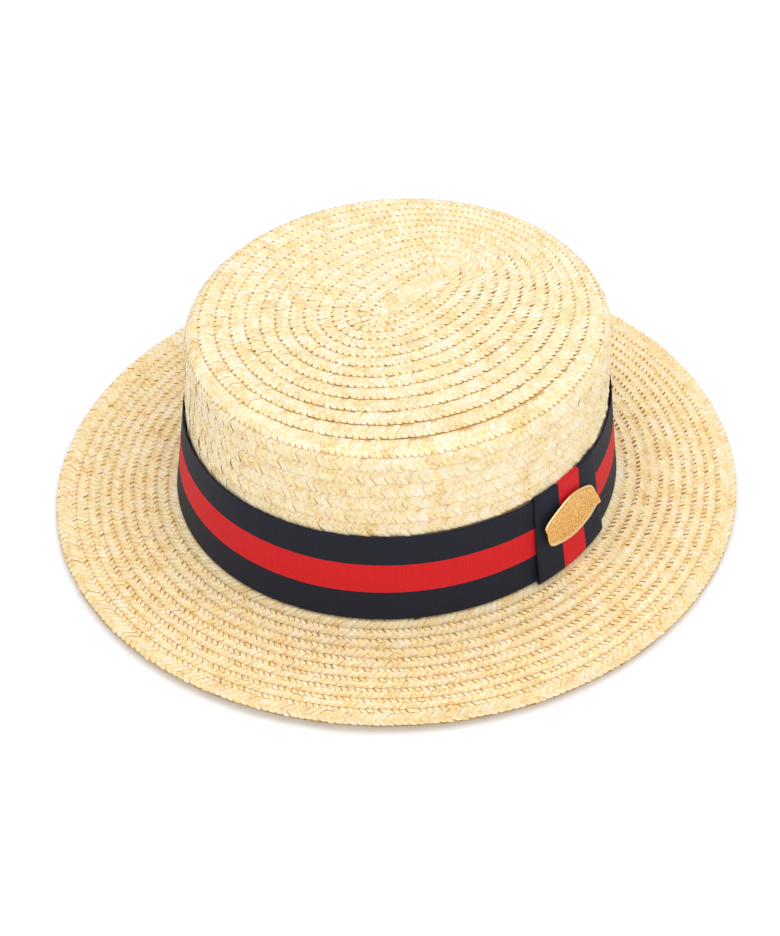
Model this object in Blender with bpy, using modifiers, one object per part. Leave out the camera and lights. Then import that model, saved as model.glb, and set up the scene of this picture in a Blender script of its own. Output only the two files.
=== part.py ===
"""Straw boater hat: crown, brim, striped ribbon, upright ribbon wrap and a plain gold badge.

Metres, +Z up. The hat rests on the underside of its brim at z = 0, the wearer looks along -Y,
and the long axis of the oval lies along Y.
"""

import bpy
import bmesh
from math import cos, sin, pi, radians, sqrt
from mathutils import Matrix, Vector

MM = 0.001

# Head opening, inside the straw at the foot of the crown
HEAD_LENGTH = 188.3 * MM
HEAD_WIDTH = 176.5 * MM

# Straw
STRAW_WALL = 2.0 * MM
BRIM_THICKNESS = 1.8 * MM
BRIM_EDGE_BEVEL = 0.6 * MM
SEAM_GAP = 0.3 * MM

# Crown
HAT_HEIGHT = 93.3 * MM
TAPER_BEHIND_RIBBON = 4.7 * MM
TAPER_ABOVE_RIBBON = 1.2 * MM
SHOULDER_RADIUS = 7.0 * MM
SHOULDER_STEPS = 4
UPRIGHT_FOOT = 1.0 * MM

# Brim
BRIM_REACH = 53.5 * MM
BRIM_RISE = 7.25 * MM
RIM_LAND = 7.5 * MM

# Ribbon
RIBBON_WIDTH = 41.6 * MM
RIBBON_THICKNESS = 1.0 * MM
RIBBON_GAP = 0.3 * MM

# Wrap: the same ribbon set upright over the join of the band
WRAP_ANGLE = 17.0
WRAP_HEEL = 3.2 * MM
WRAP_COLUMNS = 12

# Badge
BADGE_LENGTH = 36.2 * MM
BADGE_HEIGHT = 21.5 * MM
BADGE_THICKNESS = 1.2 * MM
BADGE_FACE_DEPTH = 0.3 * MM
BADGE_RIM_WIDTH = 0.7 * MM
BADGE_ANGLE = 16.6
BADGE_MIDDLE = 25.3 * MM
BADGE_GAP = 0.3 * MM

# Facets, and how near two points lie before they are welded
OVAL_SEGMENTS = 96
WELD_DISTANCE = 0.01 * MM

# Half the badge's length and half its height set the size of this outline.
# Columns: along (share of half the length), up (share of half the height).
BADGE_OUTLINE_SHARES = (
    (-1.00, 0.39),
    (-0.85, 0.60),
    (-0.57, 0.78),
    (-0.28, 0.93),
    (0.00, 1.00),
    (0.28, 0.94),
    (0.55, 0.79),
    (0.73, 0.56),
    (0.85, 0.12),
    (1.00, -0.47),
    (0.87, -0.49),
    (0.75, -0.62),
    (0.59, -0.79),
    (0.31, -0.93),
    (0.03, -1.00),
    (-0.24, -0.97),
    (-0.46, -0.89),
    (-0.71, -0.76),
    (-0.86, -0.60),
    (-0.92, -0.33),
    (-0.95, 0.00),
)

# Profile of the wrap from its heel on the brim to its fold over the ribbon's top edge.
# Columns: up (share of the ribbon's width), out (share of the heel's reach).
WRAP_PROFILE_SHARES = (
    (0.00, 1.00),
    (0.06, 0.86),
    (0.18, 0.56),
    (0.36, 0.26),
    (0.60, 0.08),
    (0.85, 0.00),
    (1.00, 0.00),
)

# Linear colours read from the photo
STRAW_COLOUR = (0.80, 0.61, 0.35, 1.0)
NAVY_COLOUR = (0.026, 0.023, 0.030, 1.0)
GOLD_COLOUR = (0.79, 0.49, 0.17, 1.0)

half_length = HEAD_LENGTH / 2
half_width = HEAD_WIDTH / 2
crown_foot = BRIM_RISE + BRIM_THICKNESS + SEAM_GAP
ribbon_top = crown_foot + RIBBON_WIDTH
shoulder_foot = HAT_HEIGHT - SHOULDER_RADIUS


def start_clean():
    """Empty the file and make the hat's collection."""
    for item in list(bpy.data.objects):
        bpy.data.objects.remove(item, do_unlink=True)
    hat = bpy.data.collections.new("straw_boater")
    bpy.context.scene.collection.children.link(hat)
    return hat


def make_material(name, colour, roughness, metallic):
    """One plain Principled material."""
    material = bpy.data.materials.new(name)
    material.use_nodes = True
    shader = material.node_tree.nodes["Principled BSDF"]
    shader.inputs["Base Color"].default_value = colour
    shader.inputs["Roughness"].default_value = roughness
    shader.inputs["Metallic"].default_value = metallic
    material.diffuse_color = colour
    return material


def oval_point(angle, outset, height):
    """Point on the oval that lies outset outside the head opening."""
    across = (half_width + outset) * cos(angle)
    along = (half_length + outset) * sin(angle)
    return Vector((across, along, height))


def oval_normal(angle, outset):
    """Level outward direction of that oval."""
    across = cos(angle) / (half_width + outset)
    along = sin(angle) / (half_length + outset)
    return Vector((across, along, 0.0)).normalized()


def oval_shape(outset, height):
    """Matrix that takes the unit circle to the oval."""
    lift = Matrix.Translation((0, 0, height))
    return lift @ Matrix.Diagonal((half_width + outset, half_length + outset, 1.0, 1.0))


def loft_ovals(mesh, profile, closed):
    """Extrude one oval through a profile of (outset, height) pairs, and return the last ring."""
    first = bmesh.ops.create_circle(mesh, cap_ends=False, radius=1.0, segments=OVAL_SEGMENTS)
    verts = first["verts"]
    edges = list({edge for vertex in verts for edge in vertex.link_edges})
    shape = oval_shape(*profile[0])
    bmesh.ops.transform(mesh, matrix=shape, verts=verts)
    stations = list(profile[1:])
    if closed:
        stations.append(profile[0])
    for outset, height in stations:
        pushed = bmesh.ops.extrude_edge_only(mesh, edges=edges)["geom"]
        verts = [item for item in pushed if isinstance(item, bmesh.types.BMVert)]
        edges = [item for item in pushed if isinstance(item, bmesh.types.BMEdge)]
        edges = [edge for edge in edges if all(vertex in verts for vertex in edge.verts)]
        target = oval_shape(outset, height)
        bmesh.ops.transform(mesh, matrix=target @ shape.inverted(), verts=verts)
        shape = target
    if closed:
        bmesh.ops.remove_doubles(mesh, verts=mesh.verts, dist=WELD_DISTANCE)
    return edges


def finish(mesh, name, collection, material, sharp_angle):
    """Turn the bmesh into a named object with its material and smooth shading."""
    bmesh.ops.recalc_face_normals(mesh, faces=mesh.faces)
    data = bpy.data.meshes.new(name)
    mesh.to_mesh(data)
    mesh.free()
    data.materials.append(material)
    data.shade_smooth()
    data.set_sharp_from_angle(angle=radians(sharp_angle))
    piece = bpy.data.objects.new(name, data)
    collection.objects.link(piece)
    return piece


def wall_outset(height):
    """Outset of the crown's outer face at a height."""
    if height <= ribbon_top:
        share = (height - crown_foot) / RIBBON_WIDTH
        return STRAW_WALL - TAPER_BEHIND_RIBBON * share
    share = (height - ribbon_top) / (shoulder_foot - ribbon_top)
    return STRAW_WALL - TAPER_BEHIND_RIBBON - TAPER_ABOVE_RIBBON * share


def build_crown(collection, material):
    """Oval wall, rounded shoulder and flat tip, thickened inwards by the straw's wall."""
    foot_outset = wall_outset(crown_foot + UPRIGHT_FOOT)
    profile = [(foot_outset, crown_foot)]
    for height in (crown_foot + UPRIGHT_FOOT, ribbon_top, shoulder_foot):
        profile.append((wall_outset(height), height))
    top_outset = wall_outset(shoulder_foot)
    for step in range(1, SHOULDER_STEPS + 1):
        turn = pi / 2 * step / SHOULDER_STEPS
        outset = top_outset - SHOULDER_RADIUS * (1 - cos(turn))
        height = shoulder_foot + SHOULDER_RADIUS * sin(turn)
        profile.append((outset, height))
    mesh = bmesh.new()
    tip_edge = loft_ovals(mesh, profile, closed=False)
    bmesh.ops.holes_fill(mesh, edges=tip_edge, sides=0)
    crown = finish(mesh, "crown", collection, material, 40)
    wall = crown.modifiers.new("wall", "SOLIDIFY")
    wall.thickness = STRAW_WALL
    wall.offset = -1.0
    wall.use_even_offset = True
    return crown


def build_brim(collection, material):
    """Oval ring: a level land under the rim, then a gentle slope up to the crown."""
    outer = STRAW_WALL + BRIM_REACH
    land = outer - RIM_LAND
    bevel = BRIM_EDGE_BEVEL
    profile = (
        (0.0, BRIM_RISE),
        (land, 0.0),
        (outer - bevel, 0.0),
        (outer, bevel),
        (outer, BRIM_THICKNESS - bevel),
        (outer - bevel, BRIM_THICKNESS),
        (land, BRIM_THICKNESS),
        (0.0, BRIM_RISE + BRIM_THICKNESS),
    )
    mesh = bmesh.new()
    loft_ovals(mesh, profile, closed=True)
    return finish(mesh, "brim", collection, material, 50)


def build_band(collection, material):
    """The ribbon laid around the crown's foot, a small gap clear of the straw."""
    inner_foot = wall_outset(crown_foot) + RIBBON_GAP
    inner_top = wall_outset(ribbon_top) + RIBBON_GAP
    profile = (
        (inner_foot, crown_foot),
        (inner_foot + RIBBON_THICKNESS, crown_foot),
        (inner_top + RIBBON_THICKNESS, ribbon_top),
        (inner_top, ribbon_top),
    )
    mesh = bmesh.new()
    loft_ovals(mesh, profile, closed=True)
    return finish(mesh, "ribbon_band", collection, material, 40)


def angle_for_arc(distance):
    """Oval angle that lies a distance along the band from the middle of the wrap."""
    middle = radians(WRAP_ANGLE)
    reach = STRAW_WALL + RIBBON_GAP + RIBBON_THICKNESS
    across = (half_width + reach) * sin(middle)
    along = (half_length + reach) * cos(middle)
    return middle + distance / sqrt(across * across + along * along)


def build_wrap(collection, material):
    """Upright ribbon over the join: heel on the brim, then up and folded over the top edge."""
    clear = RIBBON_GAP + RIBBON_THICKNESS + RIBBON_GAP
    foot = crown_foot
    top = ribbon_top + RIBBON_GAP
    profile = []
    for up, out in WRAP_PROFILE_SHARES:
        height = foot + (top - foot) * up
        outset = wall_outset(min(height, ribbon_top)) + clear + WRAP_HEEL * out
        profile.append((outset, height))
    edge = wall_outset(ribbon_top) + clear
    profile.append((edge - 0.2 * RIBBON_THICKNESS, top + 0.6 * RIBBON_THICKNESS))
    profile.append((edge - 0.7 * RIBBON_THICKNESS, top + RIBBON_THICKNESS))
    profile.append((edge - RIBBON_THICKNESS, top + RIBBON_THICKNESS))
    mesh = bmesh.new()
    rows = []
    for outset, height in profile:
        row = []
        for column in range(WRAP_COLUMNS + 1):
            distance = RIBBON_WIDTH * (column / WRAP_COLUMNS - 0.5)
            angle = angle_for_arc(distance)
            row.append(mesh.verts.new(oval_point(angle, outset, height)))
        rows.append(row)
    for lower, upper in zip(rows[:-1], rows[1:]):
        for column in range(WRAP_COLUMNS):
            corners = (lower[column], lower[column + 1], upper[column + 1], upper[column])
            mesh.faces.new(corners)
    wrap = finish(mesh, "ribbon_wrap", collection, material, 40)
    wall = wrap.modifiers.new("wall", "SOLIDIFY")
    wall.thickness = RIBBON_THICKNESS
    wall.offset = 1.0
    return wrap


def build_badge(collection, material):
    """A flat plate with a raised rim, set square on the wrap."""
    angle = radians(BADGE_ANGLE)
    height = crown_foot + BADGE_MIDDLE
    reach = 2 * (RIBBON_GAP + RIBBON_THICKNESS) + 0.2 * WRAP_HEEL + BADGE_GAP
    outset = wall_outset(height) + reach
    middle = oval_point(angle, outset, height)
    lean = TAPER_BEHIND_RIBBON / RIBBON_WIDTH
    outward = oval_normal(angle, outset)
    facing = (outward + Vector((0, 0, lean))).normalized()
    side = Vector((0, 0, 1)).cross(facing).normalized()
    up = facing.cross(side)
    mesh = bmesh.new()
    corners = []
    for along, rise in BADGE_OUTLINE_SHARES:
        place = middle + side * (along * BADGE_LENGTH / 2) + up * (rise * BADGE_HEIGHT / 2)
        corners.append(mesh.verts.new(place))
    back = mesh.faces.new(corners)
    pushed = bmesh.ops.extrude_face_region(mesh, geom=[back])
    moved = [item for item in pushed["geom"] if isinstance(item, bmesh.types.BMVert)]
    bmesh.ops.translate(mesh, vec=facing * BADGE_THICKNESS, verts=moved)
    front = [item for item in pushed["geom"] if isinstance(item, bmesh.types.BMFace)]
    bmesh.ops.inset_region(mesh, faces=front, thickness=BADGE_RIM_WIDTH, depth=0.0)
    bmesh.ops.inset_region(mesh, faces=front, thickness=BADGE_FACE_DEPTH, depth=-BADGE_FACE_DEPTH)
    return finish(mesh, "badge", collection, material, 30)


hat = start_clean()
straw = make_material("straw", STRAW_COLOUR, 0.55, 0.0)
brim_straw = make_material("brim_straw", STRAW_COLOUR, 0.55, 0.0)
ribbon = make_material("ribbon", NAVY_COLOUR, 0.75, 0.0)
wrap_ribbon = make_material("wrap_ribbon", NAVY_COLOUR, 0.75, 0.0)
gold = make_material("gold", GOLD_COLOUR, 0.35, 1.0)

build_crown(hat, straw)
build_brim(hat, brim_straw)
build_band(hat, ribbon)
build_wrap(hat, wrap_ribbon)
build_badge(hat, gold)

for piece in hat.objects:
    print(piece.name, "faces", len(piece.data.polygons))
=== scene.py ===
# %% [markdown]
# # A straw boater hat
#
# A boater is one long straw plait sewn round and round: it starts in the middle of the tip, turns
# down the side and runs out over the brim. A striped ribbon goes round the foot of the crown, a
# second length stands upright over its join, and a small gold plate is pinned on that.
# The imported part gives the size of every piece. This lesson builds what the eye sees around it:
# the plait itself, the ribs of the ribbon and the rolled edge of the plate.

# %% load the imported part
import math

import bmesh
import bpy
import numpy as np
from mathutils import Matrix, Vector


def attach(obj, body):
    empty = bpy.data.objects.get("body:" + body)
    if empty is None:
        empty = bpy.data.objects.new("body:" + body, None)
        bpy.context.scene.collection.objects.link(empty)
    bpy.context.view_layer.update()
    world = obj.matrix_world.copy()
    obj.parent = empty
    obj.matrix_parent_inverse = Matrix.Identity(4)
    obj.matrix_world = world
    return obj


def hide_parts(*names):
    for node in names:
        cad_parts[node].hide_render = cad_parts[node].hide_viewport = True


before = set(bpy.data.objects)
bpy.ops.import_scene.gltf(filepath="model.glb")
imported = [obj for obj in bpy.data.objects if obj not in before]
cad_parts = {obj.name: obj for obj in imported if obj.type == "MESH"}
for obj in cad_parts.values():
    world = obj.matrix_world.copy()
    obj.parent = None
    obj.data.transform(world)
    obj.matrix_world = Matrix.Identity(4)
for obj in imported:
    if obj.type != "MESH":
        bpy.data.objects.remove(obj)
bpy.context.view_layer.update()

# %% [markdown]
# ## Sizes
#
# The crown is an oval a little longer than it is wide, so each ring of it is the head opening's
# oval pushed out or in by an outset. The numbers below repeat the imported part's own sizes in
# metres, so that the straw follows the same wall and the same brim. The brim's gentle wave is
# added here, because a stiff hat that has been worn is never quite level.

# %% sizes
HALF_LENGTH = 0.09415
HALF_WIDTH = 0.08825
HAT_TOP = 0.0933
STRAW_WALL = 0.002
SEAM_GAP = 0.0003
TAPER_BEHIND_RIBBON = 0.0047
TAPER_ABOVE_RIBBON = 0.0012
SHOULDER_RADIUS = 0.007
BRIM_THICKNESS = 0.0018
BRIM_REACH = 0.0535
BRIM_RISE = 0.00725
RIM_LAND = 0.0075
RIBBON_WIDTH = 0.0416

CROWN_FOOT = BRIM_RISE + BRIM_THICKNESS + SEAM_GAP
RIBBON_TOP = CROWN_FOOT + RIBBON_WIDTH
SHOULDER_FOOT = HAT_TOP - SHOULDER_RADIUS
TIP_OUTSET = STRAW_WALL - TAPER_BEHIND_RIBBON - TAPER_ABOVE_RIBBON - SHOULDER_RADIUS
RIM_OUTSET = STRAW_WALL + BRIM_REACH
LAND_OUTSET = RIM_OUTSET - RIM_LAND

WAVE_MEAN = 0.0021
WAVE_SIZE = 0.0008


def clamp01(value):
    return np.clip(value, 0.0, 1.0)


def smooth(value):
    value = clamp01(value)
    return value * value * (3 - 2 * value)


def oval(outset, angle, height):
    """Points on the head's oval pushed out by an outset, at a height."""
    across = (HALF_WIDTH + outset) * np.cos(angle)
    along = (HALF_LENGTH + outset) * np.sin(angle)
    return np.stack([across, along, height], -1)


def crown_outset(height):
    """Outset of the crown's outer face at a height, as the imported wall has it."""
    low = STRAW_WALL - TAPER_BEHIND_RIBBON * (height - CROWN_FOOT) / RIBBON_WIDTH
    above = (height - RIBBON_TOP) / (SHOULDER_FOOT - RIBBON_TOP)
    high = STRAW_WALL - TAPER_BEHIND_RIBBON - TAPER_ABOVE_RIBBON * above
    return np.where(height < RIBBON_TOP, low, high)


def rim_wave(angle):
    """Height of the brim's gentle wave at the rim, in metres."""
    once = 0.85 * np.sin(angle) + 0.55 * np.cos(angle)
    twice = 0.68 * np.cos(2 * angle) + 1.02 * np.sin(2 * angle)
    return WAVE_MEAN + WAVE_SIZE * (once - twice)


def brim_middle(outset, angle):
    """Points half way through the brim."""
    fall = BRIM_RISE * (1 - clamp01(outset / LAND_OUTSET))
    lift = rim_wave(angle) * smooth(0.15 + 0.85 * outset / RIM_OUTSET) * clamp01(outset / 0.02)
    return oval(outset, angle, fall + lift + BRIM_THICKNESS / 2)


print("brim at the rim from", round(float(rim_wave(np.radians(210.0))), 5))

# %% [markdown]
# ## The path of the plait
#
# On the real tip the maker starts with a short straight piece, folds the plait round its end and
# goes on sewing, so the first turns are long narrow loops and only the outer ones follow the
# head's oval. In the photo the loops sit off the middle and turned, and they straighten out row
# by row. A ring is therefore a narrow oval at row 0 that grows, drifts and turns into the crown's
# oval at the tip's edge. Past the edge the rows go over the shoulder and down the wall.

# %% the path of the plait on the crown
PLAIT_WIDTH = 0.0077
WALL_ROW = 0.0068
TIP_ROWS = 12.713
TIP_FIRST = (0.01611, 0.00173)
TIP_SWELL = (-0.022, -0.182)
TIP_DRIFT = (0.01113, 0.00817)
TIP_BOW = (0.00999, 0.01439)
TIP_TURN = math.radians(12.47)
TIP_ROUNDNESS = 0.485
TIP_START = 0.45
TIP_SHIFT = 0.68
SEAM_PHASE = 0.243
LEAST_HALF = 0.0003
PATH_POINTS = 120
SHOULDER_LENGTH = SHOULDER_RADIUS * math.pi / 2
WALL_SHIFT = PLAIT_WIDTH / 2 / WALL_ROW


def tip_half(first, edge, swell, free):
    """Half the length or width of a loop, from the first one to the tip's edge."""
    return first + (edge + TIP_OUTSET - first) * (free + swell * free * (1 - free))


def tip_loop(free, angle):
    """Places along and across the tip for a share of its rows and an angle."""
    turn = angle - math.pi / 2
    bulge = free * (1 - free)
    long_half = tip_half(TIP_FIRST[0], HALF_LENGTH, TIP_SWELL[0], free)
    short_half = tip_half(TIP_FIRST[1], HALF_WIDTH, TIP_SWELL[1], free)
    short_half = np.maximum(short_half, LEAST_HALF)
    roundness = clamp01(TIP_ROUNDNESS + (1 - TIP_ROUNDNESS) * free)
    end = np.cos(turn) / np.sqrt(np.cos(turn) ** 2 + roundness * np.sin(turn) ** 2)
    along = short_half * np.cos(turn) + (long_half - short_half) * end
    across = short_half * np.sin(turn)
    bend = TIP_TURN * (1 - free)
    spun_along = along * np.cos(bend) - across * np.sin(bend)
    spun_across = along * np.sin(bend) + across * np.cos(bend)
    spun_along = spun_along + TIP_DRIFT[0] * (1 - free) + TIP_BOW[0] * bulge
    spun_across = spun_across + TIP_DRIFT[1] * (1 - free) + TIP_BOW[1] * bulge
    return spun_along, spun_across


def crown_middle(row, angle):
    """Point half way through the crown's straw for a row number and an angle from the front."""
    half = STRAW_WALL / 2
    along, across = tip_loop(np.minimum(row / TIP_ROWS, 1.0), angle)
    below = np.maximum(row - TIP_ROWS, 0.0) * WALL_ROW
    arc = np.minimum(below / SHOULDER_LENGTH, 1.0) * math.pi / 2
    down = np.maximum(below - SHOULDER_LENGTH, 0.0)
    outset = TIP_OUTSET + (SHOULDER_RADIUS - half) * np.sin(arc)
    outset = np.where(down > 0, crown_outset(SHOULDER_FOOT - down) - half, outset)
    height = SHOULDER_FOOT + (SHOULDER_RADIUS - half) * np.cos(arc) - down
    on_tip = np.expand_dims(row < TIP_ROWS, -1)
    loop = np.stack([-across, along, np.full(along.shape, HAT_TOP - half)], -1)
    return np.where(on_tip, loop, oval(outset, angle, height))


def row_below(height):
    """Row number at which the path on the wall reaches a height."""
    return TIP_ROWS + (SHOULDER_LENGTH + SHOULDER_FOOT - height) / WALL_ROW


def crown_path(first_row, last_row):
    """Row numbers and angles of the spiral between two rows of its seam line."""
    turns = np.arange(first_row, last_row, 1 / PATH_POINTS)
    shift = TIP_SHIFT + (WALL_SHIFT - TIP_SHIFT) * smooth((turns - TIP_ROWS + 0.6) / 1.5)
    angle = math.pi / 2 - (turns - SEAM_PHASE) * 2 * math.pi
    return turns - shift, angle


def openness(angles, centre, width):
    """1 where the stitches are drawn apart, falling to 0 at a width in degrees from there."""
    apart = np.degrees(np.angle(np.exp(1j * (angles - math.radians(centre)))))
    return np.exp(-(apart / width) ** 2)


print("rows from the tip's middle to the ribbon", round(row_below(RIBBON_TOP), 2))

# %% [markdown]
# ## A path that knows its surface
#
# A stitch has to lie flat on the hat and point along its row. So each point of a path carries two
# directions, worked out from small steps on the surface, and a number for how full the outer ends
# of its stitches are. Where the plait is drawn round a bend, full ends close up and lean ends
# leave the small dark notches that make the rows look like ladders.

# %% guides for the plait
ANGLE_STEP = 1e-4
ROW_STEP = 2e-3
OUTSET_STEP = 1e-5


def unit_rows(vectors):
    size = np.linalg.norm(vectors, axis=-1, keepdims=True)
    return vectors / np.maximum(size, 1e-12)


def surface_directions(surface, rows, angles):
    """Unit directions along the row and out of the surface."""
    reach = ROW_STEP if surface is crown_middle else OUTSET_STEP
    forward = surface(rows, angles + ANGLE_STEP) - surface(rows, angles - ANGLE_STEP)
    outward = surface(rows + reach, angles) - surface(rows - reach, angles)
    return unit_rows(forward), unit_rows(np.cross(outward, forward))


def link_object(name, data):
    """A new object in the scene for a mesh, a lamp or a camera."""
    obj = bpy.data.objects.new(name, data)
    bpy.context.scene.collection.objects.link(obj)
    return obj


def store_on_points(mesh, label, kind, values):
    """Keeps a number or a vector for every point of a mesh."""
    layer = mesh.attributes.new(label, kind, "POINT")
    field = "vector" if kind == "FLOAT_VECTOR" else "value"
    layer.data.foreach_set(field, np.array(values, np.float32).ravel())


def guide_object(name, surface, rows, angles, fullness):
    """A line of points on a surface that holds its directions and how full the stitches are."""
    points = surface(rows, angles)
    forward, up = surface_directions(surface, rows, angles)
    mesh = bpy.data.meshes.new(name)
    edges = [(i, i + 1) for i in range(len(points) - 1)]
    mesh.from_pydata(points.tolist(), edges, [])
    store_on_points(mesh, "surface_up", "FLOAT_VECTOR", up)
    store_on_points(mesh, "along", "FLOAT_VECTOR", forward)
    store_on_points(mesh, "fullness", "FLOAT", np.broadcast_to(fullness, angles.shape))
    return link_object(name, mesh)


# %% [markdown]
# ## One stitch of the plait
#
# The plait is a herringbone: flat splints cross it slantwise, meet along a fold line like the
# barbs of a feather, and turn back at its edges. Each row lies a little tilted, so that its outer
# edge rides on the row outside it. On the tip and the wall the fold line lies near the middle. On
# the brim it lies further out, so a flat slanting band ends in a row of small beads.
# A stitch is modelled as a few strips of a few faces, since it's laid thousands of times.
# The outer ends are narrower than the stitch, and a strip under them is painted dark brown:
# painted shade that makes the notches between them read as depth. The plain stitch for the
# inside has no notches.

# %% one stitch of the plait
STITCH = 3.0
HALF_STRAW = 0.53
SLANT_END = -2.9
PLAIT_TILT = 0.09
MILLIMETRE = 0.001
NARROW_SHARE = 0.9
NARROW_SIDE_SHADE = 0.8
OUTER_END_SHADE = 0.4
INNER_END_SHADE = 0.1
OUTER_HALF_FROM = 1.5


def stitch_object(name, strips, slant, fold, side_shade, middle, side):
    """Strips of straw as one small mesh, in millimetres until its points are placed."""
    verts, faces, fibre, splint = [], [], [], []
    for number, (least_shade, section, stations) in enumerate(strips):
        start = len(verts)
        count = len(section)
        for j, (v, lift, share) in enumerate(stations):
            at_end = j in (0, len(stations) - 1)
            # The third fibre number is painted shade: brown at a strip's ends and at the sides of a
            # straw.
            end_shade = OUTER_END_SHADE if v > OUTER_HALF_FROM else INNER_END_SHADE
            end = end_shade if at_end else 0.0
            edge = NARROW_SIDE_SHADE if share < NARROW_SHARE else side_shade
            for place, dip in section:
                u = slant * abs(max(v, SLANT_END) - fold) + place * share * STITCH * HALF_STRAW
                h = side * (middle + lift + dip) + PLAIT_TILT * v
                verts.append((u * MILLIMETRE, -v * MILLIMETRE, h * MILLIMETRE))
                fibre.append((place * 0.5, v * MILLIMETRE, max(abs(place) ** 6 * edge, end, least_shade)))
                splint.append(float(number))
        down = stations[-1][0] > stations[0][0]
        for j in range(len(stations) - 1):
            for i in range(count - 1):
                a = start + j * count + i
                quad = (a, a + count, a + count + 1, a + 1)
                faces.append(quad[::-1] if down == (side < 0) else quad)
    mesh = bpy.data.meshes.new(name)
    mesh.from_pydata(verts, [], faces)
    store_on_points(mesh, "fibre", "FLOAT_VECTOR", fibre)
    store_on_points(mesh, "splint", "FLOAT", splint)
    mesh.shade_smooth()
    obj = link_object(name, mesh)
    obj.hide_render = True
    return obj


# Cross sections of a straw. Columns: place across it, dip.
FLAT = ((-1.0, -0.17), (-0.5, 0.03), (0.45, 0.06), (1.0, -0.07))
ARCHED = ((-1.0, -0.40), (-0.55, 0.0), (0.55, 0.05), (1.0, -0.30))
PLAIN = ((-1.0, -0.18), (0.0, 0.08), (1.0, -0.10))

# A strip: its least painted shade, its cross section and its stations.
# Columns of a station: place across the plait, lift, width share.
INNER_HALF = (
    0.0, FLAT, ((0.75, -0.12, 1.04), (-0.2, 0.05, 1.04), (-2.6, 0.07, 1.04), (-4.3, 0.04, 1.0)))
# A strip listed with a least shade of 1.0 or 0.5 lies under the notches and is painted dark as shade.
TIP_STRIPS = (
    (0.0, FLAT, ((-0.3, -0.28, 1.04), (1.3, 0.03, 1.04), (2.5, 0.10, 1.04), (3.0, 0.08, 0.86),
                 (3.5, 0.05, 0.72), (3.92, -0.06, 0.66), (3.92, -0.36, 0.62))),
    (1.0, FLAT, ((2.4, -0.34, 1.06), (3.60, -0.44, 1.06))), INNER_HALF)
WALL_STRIPS = (
    (0.0, FLAT, ((-0.3, -0.28, 1.08), (1.3, 0.03, 1.08), (2.9, 0.08, 1.06), (3.5, 0.10, 0.97),
                 (3.92, 0.0, 0.82), (3.92, -0.34, 0.78))),
    (0.5, FLAT, ((3.0, -0.30, 1.06), (3.65, -0.42, 1.06))), INNER_HALF)
BRIM_STRIPS = (
    (0.0, FLAT, ((-0.3, -0.28, 1.04), (0.9, 0.03, 1.04), (1.95, -0.04, 1.0))),
    (0.0, ARCHED, ((1.85, -0.22, 0.76), (2.2, 0.10, 0.78), (3.3, 0.15, 0.78),
                   (3.75, 0.02, 0.74), (3.9, -0.40, 0.72))),
    (1.0, FLAT, ((1.75, -0.30, 1.06), (3.65, -0.27, 1.06))), INNER_HALF)
PLAIN_STRIPS = (
    (0.0, PLAIN, ((0.5, -0.2, 1.0), (-0.9, 0.05, 1.0), (-2.8, 0.06, 0.90), (-3.3, 0.24, 1.05),
                  (-3.75, 0.18, 1.05), (-3.85, -0.40, 1.0))),
    (0.0, PLAIN, ((-0.5, -0.15, 1.0), (0.6, 0.06, 1.0), (2.4, 0.06, 1.0), (3.85, -0.2, 0.95))),
)

# After the strips: slant, fold line, painted shade at a straw's sides, middle height, face of the hat
tip_stitch = stitch_object("tip_stitch", TIP_STRIPS, 0.62, 0.2, 0.12, 0.50, 1)
wall_stitch = stitch_object("wall_stitch", WALL_STRIPS, 0.88, 0.4, 0.22, 0.50, 1)
brim_stitch = stitch_object("brim_stitch", BRIM_STRIPS, 0.80, 1.9, 0.32, 0.50, 1)
rim_stitch = stitch_object("rim_stitch", WALL_STRIPS, 0.90, 1.3, 0.36, 0.50, 1)
plain_stitch = stitch_object("plain_stitch", PLAIN_STRIPS, 0.62, 0.2, 0.50, 0.48, -1)
stitches = (tip_stitch, wall_stitch, brim_stitch, rim_stitch, plain_stitch)
print("faces of a stitch", [len(stitch.data.polygons) for stitch in stitches])

# %% [markdown]
# ## Short words for nodes
#
# Laying the plait and colouring the straw both need node trees. The functions here each make one
# node, set it up and join it to what feeds it, so that a tree below reads like a recipe: every
# input is either a plain value or another node's output.

# %% node helpers


def put(socket, value):
    """Joins a socket to another node's output, or gives it a value."""
    if isinstance(value, bpy.types.NodeSocket):
        socket.id_data.links.new(value, socket)
    else:
        socket.default_value = value


def used(sockets):
    """The sockets that a node shows with its present settings."""
    return [socket for socket in sockets if socket.enabled]


def add_node(tree, kind, inputs, **settings):
    node = tree.nodes.new(kind)
    for name, value in settings.items():
        setattr(node, name, value)
    for name, value in inputs.items():
        put(node.inputs[name], value)
    return node


def add_sockets(tree, inputs, outputs):
    """Named inputs and outputs of a group, and the nodes that stand for them."""
    for side, sockets in (("INPUT", inputs), ("OUTPUT", outputs)):
        for label, kind in sockets:
            tree.interface.new_socket(label, in_out=side, socket_type="NodeSocket" + kind)
    return tree.nodes.new("NodeGroupInput").outputs, tree.nodes.new("NodeGroupOutput").inputs


def maths(tree, operation, *values):
    node = tree.nodes.new("ShaderNodeMath")
    node.operation = operation
    for socket, value in zip(node.inputs, values):
        put(socket, value)
    return node.outputs[0]


def vector_maths(tree, operation, first, second):
    node = tree.nodes.new("ShaderNodeVectorMath")
    node.operation = operation
    put(node.inputs[0], first)
    put(node.inputs["Scale" if operation == "SCALE" else 1], second)
    return node.outputs["Vector"]


def ranged(tree, value, low, high, to_low=0.0, to_high=1.0):
    """A value stretched from one range to another and held inside it."""
    node = add_node(tree, "ShaderNodeMapRange", {
        "Value": value, "From Min": low, "From Max": high, "To Min": to_low, "To Max": to_high})
    return node.outputs["Result"]


def split(tree, vector):
    return add_node(tree, "ShaderNodeSeparateXYZ", {"Vector": vector}).outputs


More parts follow.
